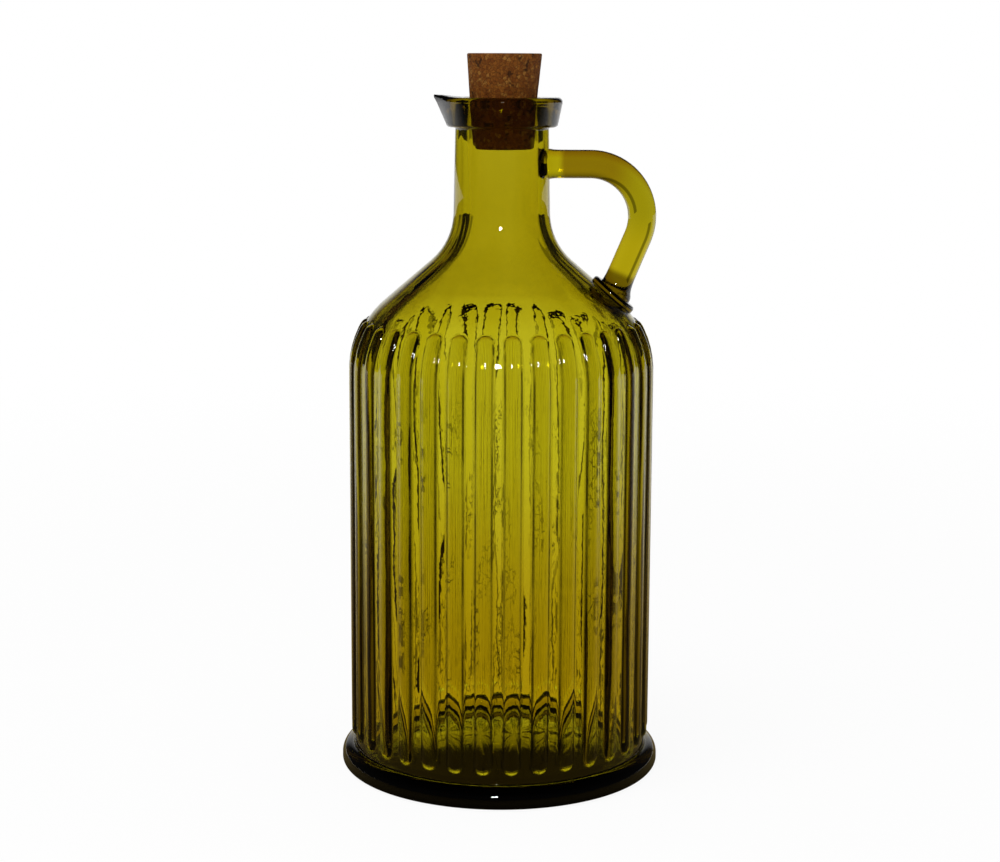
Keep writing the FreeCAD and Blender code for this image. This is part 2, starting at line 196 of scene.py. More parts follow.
bpy.ops.mesh.primitive_circle_add(vertices=96, radius=FLOOR_REACH, fill_type="NGON")
floor = bpy.context.object
floor.name = "floor"
floor.location.z = cad_box[0][2] - FLOOR_DROP
paint = bpy.data.materials.new("floor_paint")
paint.use_nodes = True
start = nodes_of(paint.node_tree)
eye, through, mirrored = path_kinds(start)
place = start.node("ShaderNodeNewGeometry", None, "Position")
away = start.node("ShaderNodeVectorMath", {"operation": "LENGTH"}, "Value", Vector=place)
behind = start.node("ShaderNodeSeparateXYZ", None, "Y", Vector=place)
lit = behind.ramp(FLOOR_LIT_FROM, FLOOR_LIT_TO)
clear = away.ramp(FLOOR_SHADE_NEAR, FLOOR_SHADE_FAR)
white_share = FLOOR_WHITE_NEAR + clear * (1 - FLOOR_WHITE_NEAR)
shaded = away.ramp(SHADOW_NEAR, SHADOW_FAR).blend(GLASSY_SHADOW, (1, 1, 1, 1))
under = behind.ramp(UNDER_FRONT, UNDER_BACK).blend(UNDER_DARK, UNDER_LIT)
shaded = away.ramp(UNDER_FROM, UNDER_TO).blend(under, shaded)
matt = start.node("ShaderNodeBsdfDiffuse", Color=FLOOR_TINT)
white = start.node("ShaderNodeEmission", Color=(1, 1, 1, 1), Strength=1.0)
glow = start.node("ShaderNodeEmission", Color=shaded,
                  Strength=through + mirrored * (ROOM_UNLIT_SIDE + lit * ROOM_LIT_SIDE))
seen = start.node("ShaderNodeMixShader", _0=eye * white_share, _1=matt, _2=white)
seen = start.node("ShaderNodeMixShader", _0=start.maths("MINIMUM", through + mirrored, 1.0),
                  _1=seen, _2=glow)
finish_tree(start, "ShaderNodeOutputMaterial", Surface=seen)
floor.data.materials.append(paint)


def add_lamp(name, place, aim, size, power):
    """A round lamp this wide, at a place, aimed at a point; metres and watts."""
    light = bpy.data.lights.new(name, "AREA")
    light.shape, light.size, light.energy = "DISK", size, power
    lamp = bpy.data.objects.new(name, light)
    lamp.location = place
    lamp.rotation_euler = (Vector(aim) - Vector(place)).to_track_quat("-Z", "Y").to_euler()
    scene.collection.objects.link(lamp)
    return lamp


softbox = add_lamp("overhead_softbox", place=(-0.5, -0.5, 1.5), aim=(0, 0, 0.1), size=0.9, power=9)
softbox.visible_glossy = False
softbox.visible_transmission = False
add_lamp("front_lamp", place=(-0.05, -1.15, 0.62), aim=(0, 0, 0.17), size=0.13, power=2.4)


# ---- the bottle ---------------------------------------------------------------------------
# Pressed and blown green glass, thick and a little uneven: a ribbed wall on a heavy standing
# ring, a wide collar drawn out into a pouring lip, and a rod handle laid on hot, with a button
# of glass where it meets the shoulder.  Sizes are in millimetres.
FOOT_RADIUS, FOOT_HEIGHT, FOOT_LOW_ROUND, FOOT_TOP_ROUND = 63.5, 8.4, 2.2, 4.8
REST_RADIUS, HOLLOW_DEPTH, DOME_POINTS, CREVICE_ROUND = 46.0, 6.0, 12, 0.8
BODY_RADIUS, SHOULDER_CORNER, SHOULDER_ROUND = 58.5, 175.6, 36.0
NECK_BASE, NECK_CORNER, NECK_ROUND, NECK_TOP = 19.0, 209.5, 25.0, 18.1
COLLAR_LOW, COLLAR_LOW_RADIUS, COLLAR_TOP_RADIUS, COLLAR_HEIGHT = 253.6, 21.4, 23.7, 11.4
COLLAR_LOW_ROUND, COLLAR_TOP_ROUND = 1.5, 1.8
WALL, HEEL_HEIGHT, FLOOR_THICKNESS, FLOOR_ROUND = 4.2, 4.0, 4.2, 4.0
BORE, THROAT, THROAT_LOW, THROAT_HIGH = 13.9, 13.4, 256.0, 262.5
MOUTH_ROUND, THROAT_ROUND, BORE_ROUND = 2.0, 3, 12
RIM = COLLAR_LOW + COLLAR_HEIGHT
HAIR = 0.01

RIBS, RIB_SECTION, RIB_PROUD, RIB_LOW, RIB_WRAP = 34, 4.0, 1.45, 15.6, math.radians(28.6)
RIBS_ABOVE, RIBS_BELOW = FOOT_HEIGHT - 1, 200
TURN = math.atan2(BODY_RADIUS - NECK_BASE, NECK_CORNER - SHOULDER_CORNER)
SHOULDER_START = SHOULDER_CORNER - SHOULDER_ROUND * math.tan(TURN / 2)
SLOPE = (NECK_CORNER - SHOULDER_CORNER) / (BODY_RADIUS - NECK_BASE)
INNER_RADIUS = BODY_RADIUS - WALL
INNER_CORNER = SHOULDER_CORNER - WALL * math.tan(TURN / 2)
BORE_CORNER = INNER_CORNER + (INNER_RADIUS - BORE) * SLOPE


def outline(corners, step=0.1):
    """A dense line through corners (across, up, rounding): straight runs joined by arcs."""
    points = []
    spots = [Vector(corner[:2]) for corner in corners]
    for index, (spot, rounding) in enumerate(zip(spots, (corner[2] for corner in corners))):
        if not rounding:
            points.append(spot)
            continue
        back = (spots[index - 1] - spot).normalized()
        on = (spots[index + 1] - spot).normalized()
        half = back.angle(on) / 2
        centre = spot + (back + on).normalized() * (rounding / math.sin(half))
        start, end = (spot + way * (rounding / math.tan(half)) for way in (back, on))
        first, last = start - centre, end - centre
        sweep = first.angle_signed(last)
        for share in np.linspace(0, 1, max(3, int(rounding * abs(sweep) / step))):
            points.append(centre + Matrix.Rotation(-sweep * share, 2) @ first)
    dense = [np.array(points[0])]
    for point in points[1:]:
        last = dense[-1]
        way = np.array(point) - last
        count = max(1, int(np.hypot(*way) / step))
        dense += [last + way * (share / count) for share in range(1, count + 1)]
    return np.array(dense)


hollow_ball = (REST_RADIUS ** 2 + HOLLOW_DEPTH ** 2) / (2 * HOLLOW_DEPTH)
floor_ball = hollow_ball + FLOOR_THICKNESS
floor_edge = math.sqrt(floor_ball ** 2 - (HEEL_HEIGHT + hollow_ball - HOLLOW_DEPTH) ** 2)


def dome(ball, reach):
    """A ball's cap, level with the middle of the underside, from the axis out to reach."""
    return [(r, math.sqrt(ball ** 2 - r * r) - hollow_ball + HOLLOW_DEPTH, 0)
            for r in np.linspace(0, reach, DOME_POINTS)]


section = outline(dome(hollow_ball, REST_RADIUS) + [
    (FOOT_RADIUS, 0, FOOT_LOW_ROUND),
    (FOOT_RADIUS, FOOT_HEIGHT, FOOT_TOP_ROUND),
    (BODY_RADIUS, FOOT_HEIGHT, CREVICE_ROUND),
    (BODY_RADIUS, SHOULDER_CORNER, SHOULDER_ROUND),
    (NECK_BASE, NECK_CORNER, NECK_ROUND),
    (NECK_TOP, COLLAR_LOW, CREVICE_ROUND),
    (COLLAR_LOW_RADIUS, COLLAR_LOW, COLLAR_LOW_ROUND),
    (COLLAR_TOP_RADIUS, RIM, COLLAR_TOP_ROUND),
    (THROAT, RIM, MOUTH_ROUND),
    (THROAT, THROAT_HIGH, THROAT_ROUND),
    (BORE, THROAT_LOW, BORE_ROUND),
    (BORE, BORE_CORNER, NECK_ROUND + WALL),
    (INNER_RADIUS, INNER_CORNER, SHOULDER_ROUND - WALL),
    (INNER_RADIUS, HEEL_HEIGHT, FLOOR_ROUND)] + dome(floor_ball, floor_edge)[::-1])

# how far along the section each point lies, and which way the section runs there
run = np.hypot(*np.diff(section, axis=0).T)
along = np.concatenate([[0], np.cumsum(run)])
heading = np.unwrap(np.arctan2(*np.gradient(section, axis=0).T[::-1]))
inside = np.arange(len(section)) > np.argmax(section[:, 1])
rib_low_at = along[np.argmax((section[:, 0] < BODY_RADIUS + HAIR) & (section[:, 1] > RIB_LOW))]
shoulder_at = along[np.argmax((section[:, 1] > SHOULDER_START) & ~inside)]
rib_high_at = shoulder_at + SHOULDER_ROUND * RIB_WRAP

# rings crowd where the section turns and at the ribs' round ends, and lie even under the dome;
# above the ribs and inside every other column is left out, and there are more rings
RING_STEP, RING_TURN, DOME_STEP, DOME_OVER = 10, math.radians(9), 9, 0.5
TIP_MIDDLE, TIP_REACH, TIP_RINGS = 1.5, 3.2, 1.5
COARSE_ABOVE, COARSE_GAIN = 206.0, 1.15
bends = np.abs(np.gradient(heading, along))
low_tip = np.abs(along - rib_low_at + TIP_MIDDLE)
high_tip = np.abs(along - rib_high_at - TIP_MIDDLE)
tips = np.minimum(low_tip, high_tip) < TIP_REACH
effort = 1 / RING_STEP + bends / RING_TURN + tips * TIP_RINGS
under_dome = (section[:, 1] < HOLLOW_DEPTH + DOME_OVER) & (section[:, 0] < REST_RADIUS)
effort[~inside & under_dome] = 1 / DOME_STEP
coarse_from = along[np.argmax(section[:, 1] > COARSE_ABOVE)]
effort[along > coarse_from] *= COARSE_GAIN
effort_sum = np.concatenate([[0], np.cumsum(0.5 * (effort[1:] + effort[:-1]) * run)])
chosen = np.interp(np.arange(0, effort_sum[-1], 1.0), effort_sum, along)
RINGS = len(chosen)
ring_r, ring_z, ring_turn = (np.interp(chosen, along, values)
                             for values in (section[:, 0], section[:, 1], heading))
ring_inside = chosen > along[np.argmax(section[:, 1])]

# columns crowd at the feet of each rib; the spread is how far each is from the rib's middle
PITCH = 2 * math.pi / RIBS
COLUMN_SPREAD = (0, 0.95, 1.85, 2.5, 2.95, 3.4, 4.2)
spread = np.array(COLUMN_SPREAD) / (BODY_RADIUS * PITCH)
offsets = np.concatenate([spread, [0.5], 1 - spread[:0:-1]])
angles = (np.arange(RIBS)[:, None] + offsets[None, :]).ravel() * PITCH
COLUMNS = len(angles)


# each unevenness: a seed, waves round the bottle, radians of wave per millimetre up, and size
SLOW_RIPPLE = (3, (2, 3, 5, 7), (0.02, -0.03, 0.045, -0.02), 0.28)
QUICK_RIPPLE = (5, (9, 14, 11, 23), (0.11, -0.07, 0.16, 0.05), 0.09)
RIPPLE_BELOW_RIM, RIPPLE_FULL_RADIUS, RIPPLE_UPRIGHT = 12, 20, 0.6


def ripple(angle, height, seed, turns, rises, size):
    """Slow unevenness of hand-made glass: a few crossed waves with set phases."""
    rng = np.random.default_rng(seed)
    total = np.zeros(np.broadcast(angle, height).shape)
    for turn_count, rise in zip(turns, rises):
        phase = rng.uniform(0, 2 * math.pi)
        total += np.sin(turn_count * angle + rise * height + phase)
    return total * size / math.sqrt(len(turns))


radius = np.repeat(ring_r[:, None], COLUMNS, 1)
height = np.repeat(ring_z[:, None], COLUMNS, 1)
angle = np.repeat(angles[None, :], RINGS, 0)

# ribs stand out along the surface's normal
out_r, out_z = np.sin(ring_turn)[:, None], -np.cos(ring_turn)[:, None]
off_centre = (angle / PITCH + 0.5) % 1 - 0.5
past_end = np.clip(np.maximum(rib_low_at - chosen, chosen - rib_high_at), 0, None)[:, None]
from_bar = np.hypot(off_centre * PITCH * radius, past_end)
rib_half = math.sqrt(RIB_SECTION ** 2 - (RIB_SECTION - RIB_PROUD) ** 2)
rib = RIB_PROUD * np.sqrt(np.clip(1 - (from_bar / rib_half) ** 2, 0, None))
rib *= (~ring_inside & (ring_z > RIBS_ABOVE) & (ring_z < RIBS_BELOW))[:, None]
radius += rib * out_r
height += rib * out_z

# the inside is uneven
wet = (ring_inside & (ring_z < RIM - RIPPLE_BELOW_RIM))[:, None]
fade = np.clip(radius / RIPPLE_FULL_RADIUS, 0, 1)
uneven = ripple(angle, height, *SLOW_RIPPLE)
uneven += ripple(angle, height, *QUICK_RIPPLE)
radius += wet * fade * uneven * np.abs(out_r)
height += wet * fade * uneven * np.abs(out_z) * RIPPLE_UPRIGHT

# the collar's rim is drawn out into the lip, which rises at its nose and has a gutter in it
LIP_REACH, LIP_NOSE, LIP_SPREAD, LIP_RISE = 26.4, 2.4, math.radians(21.75), 0.9
LIP_FULL_BELOW, SIDE_ABOVE, SIDE_INSET, LEVEL_SLACK, EDGE_INSET = 1.0, 0.3, 1.2, 0.02, 1.9
RISE_BELOW_RIM, RISE_FROM, RISE_OVER = 3, 15, 6
GUTTER_HALF, GUTTER_DEPTH, GUTTER_SWEEP = 1.7, 1.0, 1.2
from_lip = math.pi - np.abs((angle + math.pi) % (2 * math.pi) - math.pi)


def lip_radius(reach, collar):
    """The outline of a ring of radius collar with a round nose pulled out to reach."""
    centre = reach - LIP_NOSE
    tangent = np.arccos(np.clip((collar - LIP_NOSE) / np.maximum(centre, 1e-6), -1, 1))
    nose_end = np.arctan2(LIP_NOSE * np.sin(tangent), centre + LIP_NOSE * np.cos(tangent))
    flank = collar / np.cos(tangent - from_lip)
    tip = centre * np.cos(from_lip) + np.sqrt(
        np.clip(LIP_NOSE ** 2 - (centre * np.sin(from_lip)) ** 2, 0, None))
    pulled = np.where(from_lip < nose_end, tip, flank)
    return np.where((from_lip < tangent) & (centre > collar - LIP_NOSE), pulled, collar)


pull_height = COLLAR_HEIGHT - COLLAR_LOW_ROUND - LIP_FULL_BELOW
up_collar = np.clip((ring_z - COLLAR_LOW - COLLAR_LOW_ROUND) / pull_height, 0, 1)[:, None]
on_collar = (ring_z > COLLAR_LOW + SIDE_ABOVE) & (ring_r > COLLAR_LOW_RADIUS - SIDE_INSET)
is_side = (~ring_inside & on_collar)[:, None]
reach = COLLAR_LOW_RADIUS + (LIP_REACH - COLLAR_LOW_RADIUS) * up_collar
pull = lip_radius(reach, np.maximum(ring_r, 1)[:, None]) - ring_r[:, None]
edge_r = COLLAR_TOP_RADIUS - EDGE_INSET
edge_reach = np.full((1, COLUMNS), LIP_REACH - EDGE_INSET)
on_top = (~ring_inside & (ring_z > RIM - LEVEL_SLACK) & (ring_r <= edge_r))[:, None]
edge_pull = lip_radius(edge_reach, np.array([[edge_r]])) - edge_r
share = np.clip((ring_r[:, None] - THROAT - MOUTH_ROUND) / (edge_r - THROAT - MOUTH_ROUND), 0, 1)
radius += np.where(is_side & ~on_top, pull, 0) + np.where(on_top, share * edge_pull, 0)
sideways = radius * np.sin(from_lip)
lifted = np.exp(-(from_lip / LIP_SPREAD) ** 2) * LIP_RISE
lifted = lifted * np.clip((ring_r[:, None] - RISE_FROM) / RISE_OVER, 0, 1)
gutter = np.exp(-(sideways / GUTTER_HALF) ** 2) * (from_lip < GUTTER_SWEEP) * GUTTER_DEPTH
height += np.where((~ring_inside & (ring_z > RIM - RISE_BELOW_RIM))[:, None], lifted, 0)
height -= np.where(on_top, gutter * (2 - share), 0)

points = np.stack([radius * np.cos(angle), radius * np.sin(angle), height], -1) * MM


def grid_mesh(name, points, fine=None):
    """A closed mesh over rings of points, with a point put in the middle of each end ring, and
    with every other column left out past ring number fine."""
    rings = [ring if fine is None or number < fine else ring[::2]
             for number, ring in enumerate(points)]
    starts = np.concatenate([[0], np.cumsum([len(ring) for ring in rings])])
    corners = [tuple(point) for ring in rings for point in ring]
    faces = []
    for number, (ring, above) in enumerate(zip(rings, rings[1:])):
        low, high = starts[number], starts[number + 1]
        wide, columns = len(ring), len(above)
        skip = wide // columns
        for column in range(columns):
            along_ring = [low + (skip * column + step) % wide for step in range(skip + 1)]
            faces.append((*along_ring, high + (column + 1) % columns, high + column))
    for number, order in ((0, -1), (len(rings) - 1, 1)):
        middle, base, columns = len(corners), starts[number], len(rings[number])
        corners.append(tuple(rings[number].mean(axis=0)))
        for column in range(columns):
            edge = (base + column, base + (column + 1) % columns)[::order]
            faces.append((*edge, middle))
    mesh = bpy.data.meshes.new(name)
    mesh.from_pydata(corners, [], faces)
    skin = bmesh.new()
    skin.from_mesh(mesh)
    if skin.calc_volume(signed=True) < 0:
        bmesh.ops.reverse_faces(skin, faces=skin.faces[:])
    skin.to_mesh(mesh)
    skin.free()
    piece = bpy.data.objects.new(name, mesh)
    scene.collection.objects.link(piece)
    return piece


# the handle's rod widens softly into the neck and the button; its rings crowd at both ends
ROD, HANDLE_HEIGHT, HANDLE_REACH, HANDLE_BEND, HANDLE_FOOT = 5.5, 239.6, 60.0, 20.2, 43.3
NECK_FLARE, NECK_FLARE_LENGTH, FOOT_FLARE, FOOT_FLARE_LENGTH = 0.35, 1.1, 1.6, 2.2
PAD_RADIUS, PAD_PROUD, PAD_ROUND, PAD_SUNK, PAD_STEP = 10.0, 2.0, 1.2, 2.4, 0.35
LEVEL_SPOTS = (15.6, 16.8, 18, 18.5, 19, 19.6, 20.4, 21.4, 23, 26, 30)
LEG_SHARES = (0.2, 0.4, 0.55, 0.65, 0.73, 0.8, 0.86, 0.9, 0.94, 0.97, 1)
ARC_POINTS, ROD_SIDES, PAD_SIDES, FLARE_START = 34, 56, 96, 0.3
FOOT_POINT = SHOULDER_CORNER + (BODY_RADIUS - HANDLE_FOOT) * SLOPE


def handle_route():
    """The rod's middle line in the XZ plane: level out of the neck, round, and down to the foot."""
    middle = Vector((HANDLE_REACH - ROD - HANDLE_BEND, HANDLE_HEIGHT - HANDLE_BEND))
    foot = Vector((HANDLE_FOOT, FOOT_POINT))
    gap = foot - middle
    lean = math.atan2(-gap.y, gap.x) - math.acos(HANDLE_BEND / gap.length)
    turns = np.linspace(math.pi / 2, -lean, ARC_POINTS)
    arc = [(middle.x + HANDLE_BEND * math.cos(turn), middle.y + HANDLE_BEND * math.sin(turn))
           for turn in turns]
    level = [(x, HANDLE_HEIGHT) for x in LEVEL_SPOTS]
    end = Vector(arc[-1])
    leg = [tuple(end + (foot - end) * share) for share in LEG_SHARES]
    return np.array(level + arc + leg)


def tube(name, route, radii, sides):
    """A round rod along a route in the XZ plane."""
    way = np.gradient(route, axis=0)
    way /= np.hypot(*way.T)[:, None]
    turns = np.linspace(0, 2 * math.pi, sides, endpoint=False)
    across = np.stack([-way[:, 1], way[:, 0]], -1)
    x = route[:, 0:1] + radii[:, None] * across[:, 0:1] * np.cos(turns)
    z = route[:, 1:2] + radii[:, None] * across[:, 1:2] * np.cos(turns)
    y = radii[:, None] * np.sin(turns)
    return grid_mesh(name, np.stack([x, y, z], -1) * MM)


route = handle_route()
from_neck = np.clip(route[:, 0] - NECK_BASE + FLARE_START, 0, None)
from_foot = np.clip(np.hypot(*(route - route[-1]).T) - PAD_PROUD, 0, None)
radii = ROD + NECK_FLARE * np.exp(-from_neck / NECK_FLARE_LENGTH)
radii += FOOT_FLARE * np.exp(-from_foot / FOOT_FLARE_LENGTH)
handle = tube("handle", route, radii, ROD_SIDES)

# the button lies square to the shoulder's slope
up = np.array([math.cos(TURN), 0, math.sin(TURN)])
side = np.array([math.sin(TURN), 0, -math.cos(TURN)])
button = outline([(HAIR, -PAD_SUNK, 0), (PAD_RADIUS, -PAD_SUNK, 0),
                  (PAD_RADIUS, PAD_PROUD, PAD_ROUND), (HAIR, PAD_PROUD, 0)], PAD_STEP)
turns = np.linspace(0, 2 * math.pi, PAD_SIDES, endpoint=False)[None, :, None]
button_points = (np.array([HANDLE_FOOT, 0, FOOT_POINT])
                 + button[:, 0, None, None] * (np.cos(turns) * side + np.sin(turns) * [0, 1, 0])
                 + button[:, 1, None, None] * up)
pad = grid_mesh("pad", button_points * MM)

# one piece of glass: the section's two ends lie on the axis, and only hard corners stay sharp
GLASS_SHARP = 50
fine = int(np.argmax(chosen > coarse_from))
glass = grid_mesh("glass_bottle_blown", points[1:-1], fine)
for extra in (handle, pad):
    union = glass.modifiers.new("laid_on", "BOOLEAN")
    union.operation, union.solver, union.object = "UNION", "MANIFOLD", extra
    bpy.context.view_layer.objects.active = glass
    bpy.ops.object.modifier_apply(modifier=union.name)
    bpy.data.objects.remove(extra)
for polygon in glass.data.polygons:
    polygon.use_smooth = True
    polygon.material_index = 0
glass.data.set_sharp_from_angle(angle=math.radians(GLASS_SHARP))

# the finish: clear glass that colours what shines through its depth, with painted shade in dark lines
# along the feet of the ribs and dark winding marks inside; painted shade also tints the neck darker,
# the handle darker and warmer and its button darker
GLASS_IOR, DEPTH_TINT, DEPTH_DENSITY = 1.52, (0.868, 0.841, 0.0, 1), 490.0
glass_finish = bpy.data.materials.new("green_glass")
glass_finish.use_nodes = True
start = nodes_of(glass_finish.node_tree)
where = start.node("ShaderNodeTexCoord", None, "Object")
x, y, z = (start.node("ShaderNodeSeparateXYZ", None, axis, Vector=where) / MM for axis in "XYZ")
r = (x * x + y * y) ** 0.5

# how far out in the wall the spot is, and how far from the nearest rib's foot; ribs are counted
# from a number that keeps the count above 0 and a rib's middle at a half
SKIN_DEEP, SKIN_SHALLOW, COUNT_FROM = 2.6, 1.4, 100.5
over = start.maths("MAXIMUM", z - SHOULDER_START, 0.0)
roll_middle = BODY_RADIUS - SHOULDER_ROUND
skin_r = ((r - roll_middle) ** 2.0 + over * over) ** 0.5 + roll_middle
outside = skin_r.ramp(BODY_RADIUS - SKIN_DEEP, BODY_RADIUS - SKIN_SHALLOW)
ribs_round = start.maths("ARCTAN2", y, x) / PITCH + COUNT_FROM
off_rib = start.maths("ABSOLUTE", start.maths("FRACT", ribs_round) - 0.5) * r * PITCH
round_shoulder = start.maths("ARCTAN2", z - SHOULDER_START, r - roll_middle)
past_high = (round_shoulder - RIB_WRAP) * SHOULDER_ROUND
past = start.maths("MAXIMUM", start.maths("MAXIMUM", RIB_LOW - z, past_high), 0.0)
from_foot = start.maths("ABSOLUTE", (off_rib * off_rib + past * past) ** 0.5 - rib_half)

# the noises behind the painted shade and the bump, two of them drawn out upright
WAVE_SCALE, WIGGLE_SCALE, WIGGLE_DRAWN, ROW_SCALE, ROW_DRAWN = 120.0, 820.0, 0.22, 250.0, 0.1
drawn = start.node("ShaderNodeVectorMath", {"operation": "MULTIPLY"}, "Vector",
                   _0=where, _1=(1.0, 1.0, WIGGLE_DRAWN))
rows = start.node("ShaderNodeVectorMath", {"operation": "MULTIPLY"}, "Vector",
                  _0=where, _1=(1.0, 1.0, ROW_DRAWN))
wave = start.node("ShaderNodeTexNoise", None, "Fac", Vector=where, Scale=WAVE_SCALE, Detail=3.0)
wiggle_noise = start.node("ShaderNodeTexNoise", None, "Fac", Vector=drawn, Scale=WIGGLE_SCALE, Detail=3.0)
row = start.node("ShaderNodeTexNoise", None, "Fac", Vector=rows, Scale=ROW_SCALE, Detail=2.0)

# painted shade: dark lines in the corners beside the ribs, where shade falls; steady on the body,
# broken up on the shoulder and faint at the base
SHOULDER_RANGE, RIB_SHADE_TINT, RIB_SHADE_SHARE = (160.0, 178.0), (0.01, 0.007, 0.001, 1), 0.97
RIB_SHADE_WIDE, RIB_SHADE_WIDER, RIB_SHADE_EDGE = 0.62, 0.08, (0.25, 1.0)
RIB_SHADE_ROW, RIB_SHADE_STEADY = (0.4, 0.6), 0.6
RIB_SHADE_BREAK, RIB_SHADE_BROKEN = (0.49, 0.52), 0.7
RIB_SHADE_LOW, RIB_SHADE_AT_BASE = (13.0, 22.0), 0.25
upper = z.ramp(*SHOULDER_RANGE)
rib_foot_shade = 1 - (from_foot / (RIB_SHADE_WIDE + upper * RIB_SHADE_WIDER)).ramp(*RIB_SHADE_EDGE)
rib_foot_shade = rib_foot_shade * (RIB_SHADE_STEADY + row.ramp(*RIB_SHADE_ROW) * (1 - RIB_SHADE_STEADY))
rib_foot_shade = rib_foot_shade * (1 - upper * wiggle_noise.ramp(*RIB_SHADE_BREAK) * RIB_SHADE_BROKEN) * outside
rib_foot_shade = rib_foot_shade * (RIB_SHADE_AT_BASE + z.ramp(*RIB_SHADE_LOW) * (1 - RIB_SHADE_AT_BASE))
tint = (rib_foot_shade * RIB_SHADE_SHARE).blend((1, 1, 1, 1), RIB_SHADE_TINT)

# painted shade: thin dark winding lines on the inside, thickest behind the corners, with dark dots
# among them
INNER_SHADE_TINT, INNER_SHADE_SHARE = (0.012, 0.007, 0.001, 1), 0.92
INNER_SHADE_LINE, INNER_SHADE_ROW, INNER_SHADE_THINNED = (0.012, 0.045), (0.55, 0.6), 0.45
INNER_SHADE_BESIDE, INNER_SHADE_LOW, INNER_SHADE_HIGH = (1.2, 2.4), (7.0, 13.0), (135.0, 168.0)
SHADE_DOT_NEAR, SHADE_DOT_WIGGLE, SHADE_DOT_ROW = (0.2, 1.0), (0.5, 0.55), (0.45, 0.55)
inner_shade = 1 - start.maths("ABSOLUTE", wiggle_noise - 0.5).ramp(*INNER_SHADE_LINE)
inner_shade = inner_shade * row.ramp(*INNER_SHADE_ROW) * (1 - from_foot.ramp(*INNER_SHADE_BESIDE) * INNER_SHADE_THINNED)
shade_dot = (1 - from_foot.ramp(*SHADE_DOT_NEAR)) * wiggle_noise.ramp(*SHADE_DOT_WIGGLE) * row.ramp(*SHADE_DOT_ROW)
inner_shade = start.maths("MAXIMUM", inner_shade, shade_dot)
inner_shade = inner_shade * (1 - outside) * z.ramp(*INNER_SHADE_LOW) * (1 - z.ramp(*INNER_SHADE_HIGH))
tint = (inner_shade * INNER_SHADE_SHARE).blend(tint, INNER_SHADE_TINT)

# painted shade on the neck, on the handle's rod from level to leg, and on the button
NECK_RANGE, NECK_SHADE_TINT = (176.0, 190.0), (0.87, 0.835, 0.65, 1)
ROD_ABOVE, ROD_BEYOND, ROD_BELOW = (3.0, 6.0), (22.0, 25.0), (248.0, 250.0)
LEVEL_SHADE_TINT, BEND_SHADE_TINT, BEND_RANGE = (0.52, 0.4, 0.36, 1), (0.69, 0.67, 0.64, 1), (42.0, 54.0)
LEG_SHADE_TINT, LEG_RANGE = (0.9, 0.83, 0.75, 1), (206.0, 222.0)
PAD_SHADE_TINT, PAD_RANGE = (0.3, 0.24, 0.1, 1), (9.5, 12.0)
above = z - (SHOULDER_CORNER + BODY_RADIUS * SLOPE) + r * SLOPE
rod = above.ramp(*ROD_ABOVE) * r.ramp(*ROD_BEYOND) * (1 - z.ramp(*ROD_BELOW))
# painted shade: the neck and upper shoulder are tinted a little darker and yellower
tint = (z.ramp(*NECK_RANGE) * (1 - rod) * (1 - rib_foot_shade)).blend(tint, NECK_SHADE_TINT)
# painted shade: the rod is darker and warmer along its level part, less so round the bend and least
# down the leg
rod_shade = x.ramp(*BEND_RANGE).blend(LEVEL_SHADE_TINT, BEND_SHADE_TINT)
tint = rod.blend(tint, z.ramp(*LEG_RANGE).blend(LEG_SHADE_TINT, rod_shade))
# painted shade: the glass round the button is darker
from_pad = ((x - HANDLE_FOOT) ** 2.0 + y * y + (z - FOOT_POINT) ** 2.0) ** 0.5
tint = (1 - from_pad.ramp(*PAD_RANGE)).blend(tint, PAD_SHADE_TINT)

# the inside's slow waviness, stronger under the shoulder
WAVE_HEIGHT, WAVE_BODY, WAVE_SHOULDER = 0.1 * MM, 0.7, 0.4
relief = start.node("ShaderNodeBump", None, "Normal", Strength=1.0, Distance=WAVE_HEIGHT,
                    Height=wave * (1 - outside) * (WAVE_BODY + upper * WAVE_SHOULDER))
surface = start.node("ShaderNodeBsdfPrincipled", Base_Color=tint, Roughness=0.0, IOR=GLASS_IOR,
                     Transmission_Weight=1.0, Normal=relief)
depth = start.node("ShaderNodeVolumeAbsorption", Color=DEPTH_TINT, Density=DEPTH_DENSITY)
finish_tree(start, "ShaderNodeOutputMaterial", Surface=surface, Volume=depth)
glass.data.materials.clear()
glass.data.materials.append(glass_finish)
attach(glass, "root")
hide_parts("glass_bottle")


# ---- the cork stopper ---------------------------------------------------------------------
# A tapered plug of pressed cork crumbs, pushed a little askew into the throat.  Its sides and
# ends are pitted where crumbs have broken away.
CORK_TOP, CORK_LOW, CORK_TOP_RADIUS, CORK_LOW_RADIUS, CORK_EDGE = 281.6, 245.2, 14.45, 11.4, 0.5
CORK_SHIFT, CORK_LEAN, CORK_LEAN_FROM = 0.4, math.radians(1.2), 262.0
CORK_STEP, CORK_SIDES, CORK_SHARP, END_MARGIN = 0.4, 216, 60, 0.3
PITS, PIT_WIDE, PIT_DEEP, PIT_TALL = 330, (0.35, 1.0), (0.08, 0.34), (0.7, 1.5)
PITS_ON_ENDS, PITS_ON_TOP = 0.3, 0.7

side_line = outline([(HAIR, CORK_LOW, 0), (CORK_LOW_RADIUS, CORK_LOW, CORK_EDGE),
                     (CORK_TOP_RADIUS, CORK_TOP, CORK_EDGE), (HAIR, CORK_TOP, 0)], CORK_STEP)
turns = np.linspace(0, 2 * math.pi, CORK_SIDES, endpoint=False)
cork_r = np.repeat(side_line[:, :1], len(turns), 1)
cork_z = np.repeat(side_line[:, 1:], len(turns), 1)
spots = np.stack([cork_r * np.cos(turns), cork_r * np.sin(turns), cork_z], -1)

